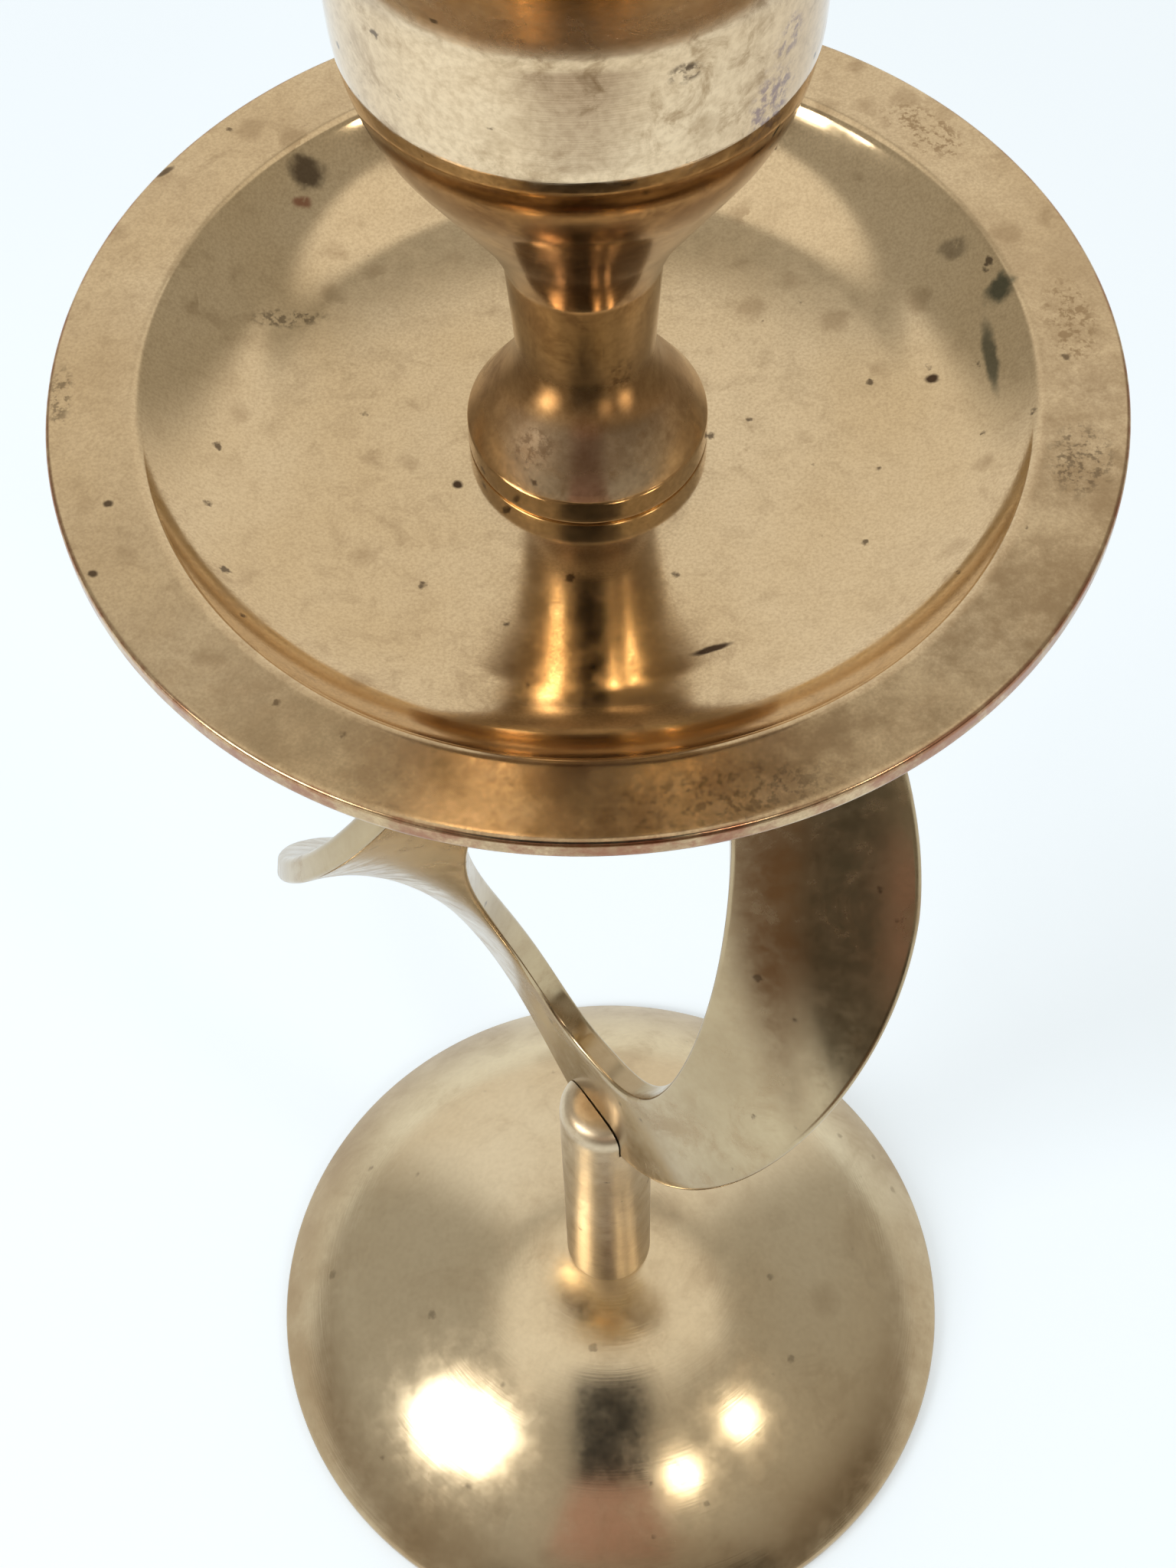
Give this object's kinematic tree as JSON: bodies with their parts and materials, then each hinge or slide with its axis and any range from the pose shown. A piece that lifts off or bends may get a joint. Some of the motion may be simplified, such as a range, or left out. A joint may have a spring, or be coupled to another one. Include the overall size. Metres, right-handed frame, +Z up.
{
  "type": "candle holder",
  "caption": "Brass candle holder: a domed base and round post carry an oval ring stem twisted about its axis, a round drip pan and a goblet-shaped candle cup.",
  "frame": {"origin": "on the floor, at the centre of the base", "axes": "+Z up along the axis of the base, pan and cup; -Y faces the picture's camera, +X is to its right"},
  "size_m": [0.076, 0.076, 0.2106],
  "materials": {
    "aged_brass": "aged polish with brown spots",
    "polished_brass": "glossy, lightly tarnished",
    "steel_fastener": "plain"
  },
  "bodies": {
    "root": {"domed_base": "polished_brass", "base_washer": "steel_fastener", "base_screw": "steel_fastener", "stem_post": "polished_brass", "twisted_ring": "polished_brass", "top_collar": "polished_brass", "drip_pan": "aged_brass", "cup_stud": "steel_fastener", "candle_cup": "aged_brass"}
  },
  "joints": []
}
